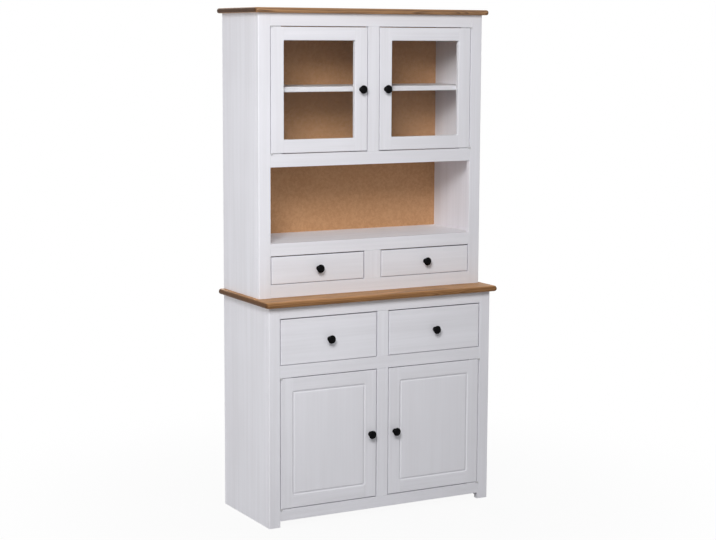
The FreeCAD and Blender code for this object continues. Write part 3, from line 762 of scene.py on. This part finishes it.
# Studio
def make_camera():
    """A camera to the left of the front, turned by yaw, pitch and roll."""
    flat = math.cos(camera_pitch)
    forward = Vector((math.sin(camera_yaw) * flat, math.cos(camera_yaw) * flat, math.sin(camera_pitch)))
    right = Vector((math.cos(camera_yaw), -math.sin(camera_yaw), 0))
    up = right.cross(forward)
    x_axis = math.cos(camera_roll) * right + math.sin(camera_roll) * up
    y_axis = math.cos(camera_roll) * up - math.sin(camera_roll) * right
    turn = Matrix((x_axis, y_axis, -forward)).transposed()
    data = bpy.data.cameras.new("camera")
    data.lens = camera_lens
    data.sensor_width = camera_sensor
    camera = bpy.data.objects.new("camera", data)
    camera.matrix_world = Matrix.Translation(camera_place) @ turn.to_4x4()
    scene.collection.objects.link(camera)
    scene.camera = camera


def make_lamp(name, place, size, power):
    """A soft square lamp that looks at the middle of the part."""
    target = (Vector(solid_box[0]) + Vector(solid_box[1])) / 2
    data = bpy.data.lights.new(name, "AREA")
    data.size = size
    data.energy = power
    shown = bpy.data.objects.new(name, data)
    shown.location = place
    shown.rotation_euler = (target - Vector(place)).to_track_quat("-Z", "Y").to_euler()
    shown.visible_camera = False
    shown.visible_transmission = False
    scene.collection.objects.link(shown)


def seen_directly(tree):
    """1 for rays from the camera, also through glass or off gloss, and 0 after a matt face."""
    rays = tree.nodes.new("ShaderNodeLightPath")
    share = rays.outputs["Is Camera Ray"]
    for name, operation in (("Is Glossy Ray", "MAXIMUM"), ("Is Transmission Ray", "MAXIMUM"),
                            ("Diffuse Depth", "SUBTRACT")):
        step = tree.nodes.new("ShaderNodeMath")
        step.operation = operation
        step.use_clamp = True
        tree.links.new(share, step.inputs[0])
        tree.links.new(rays.outputs[name], step.inputs[1])
        share = step.outputs[0]
    return share


def mix_surfaces(tree, share, first, second, output):
    """Show two shaders on an output, mixed by a share of the second."""
    mixed = tree.nodes.new("ShaderNodeMixShader")
    tree.links.new(share, mixed.inputs[0])
    tree.links.new(first.outputs[0], mixed.inputs[1])
    tree.links.new(second.outputs[0], mixed.inputs[2])
    tree.links.new(mixed.outputs[0], tree.nodes[output].inputs["Surface"])


def make_world():
    """Even light from all round, seen as white."""
    world = bpy.data.worlds.new("studio")
    scene.world = world
    world.use_nodes = True
    tree = world.node_tree
    light = tree.nodes["Background"]
    light.inputs["Color"].default_value = (1, 1, 1, 1)
    light.inputs["Strength"].default_value = ambient
    white = tree.nodes.new("ShaderNodeBackground")
    white.inputs["Color"].default_value = (1, 1, 1, 1)
    mix_surfaces(tree, seen_directly(tree), light, white, "World Output")


def make_floor():
    """A wide white floor that keeps a faint shadow."""
    corners = [(-floor_reach, -floor_reach, 0), (floor_reach, -floor_reach, 0),
               (floor_reach, floor_reach, 0), (-floor_reach, floor_reach, 0)]
    data = bpy.data.meshes.new("floor")
    data.from_pydata(corners, [], [(0, 1, 2, 3)])
    floor = bpy.data.objects.new("floor", data)
    floor.location.z = -floor_drop
    scene.collection.objects.link(floor)
    shader = Shader("floor_white")
    shader.finish((floor_white, floor_white, floor_white), floor_roughness)
    glow = shader.node("ShaderNodeEmission", {})
    away = shader.node("ShaderNodeVectorMath", {0: shader.place()}, operation="LENGTH").outputs["Value"]
    white = shader.between(away, *floor_fade, start=floor_glow)
    share = shader.maths("MULTIPLY", seen_directly(shader.tree), white)
    mix_surfaces(shader.tree, share, shader.surface, glow, "Material Output")
    data.materials.append(shader.material)


# The dressed part
base_wax = {"along": X, "across": Y, "level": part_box("base_top")[0].z, "plank": wax_plank,
            "colours": (pine_early, pine_late, pine_end_and_shade, pine_knot, pine_late),
            "roughness": wax_roughness, "nose_shade": base_nose_shade}
hutch_wax = {"along": X, "across": Y, "level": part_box("hutch_top")[0].z, "plank": wax_plank,
             "colours": (pine_early, pine_late, hutch_end_and_shade, pine_knot, hutch_nose_grey),
             "roughness": wax_roughness, "nose_shade": hutch_nose_shade}
bare = {"level": 0.0, "plank": bare_plank,
        "colours": (bare_early, bare_late, bare_end, bare_knot, bare_late),
        "roughness": bare_roughness, "nose_shade": 0.0}
steel = zinc_steel()
dress_solids({
    "upright": painted_pine("painted_upright", Z),
    "level": painted_pine("painted_level", X),
    "deep": painted_pine("painted_deep", Y),
    # Inner floors and decks in a whiter paint: painted light
    "inside": painted_pine("painted_inside_brightened", X, brightened_inside_light, brightened_inside_shade, gloss=0.02),
    "panel": painted_pine("painted_panel", Z, panel_light, panel_shade, grain=0.28),
    "base_top": pine("waxed_pine_base", **base_wax),
    "hutch_top": pine("waxed_pine_hutch", **hutch_wax),
    "bare_deep": pine("bare_pine_deep", along=Y, across=Z, **bare),
    "bare_level": pine("bare_pine_level", along=X, across=Z, **bare),
    "bare_upright": pine("bare_pine_upright", along=Z, across=X, **bare),
    "board": back_board(),
    "glass": clear_glass(),
    "coated": coated_steel(),
    "zinc": steel,
})
knobs(satin_black(), steel)
catches(moulded_plastic(), steel)
strike_screws(steel)
bead_pins(steel)
panel_pins(steel)

make_camera()
make_world()
make_floor()
for lamp_name, (lamp_place, lamp_size, lamp_power) in lamps.items():
    make_lamp(lamp_name, lamp_place, lamp_size, lamp_power)
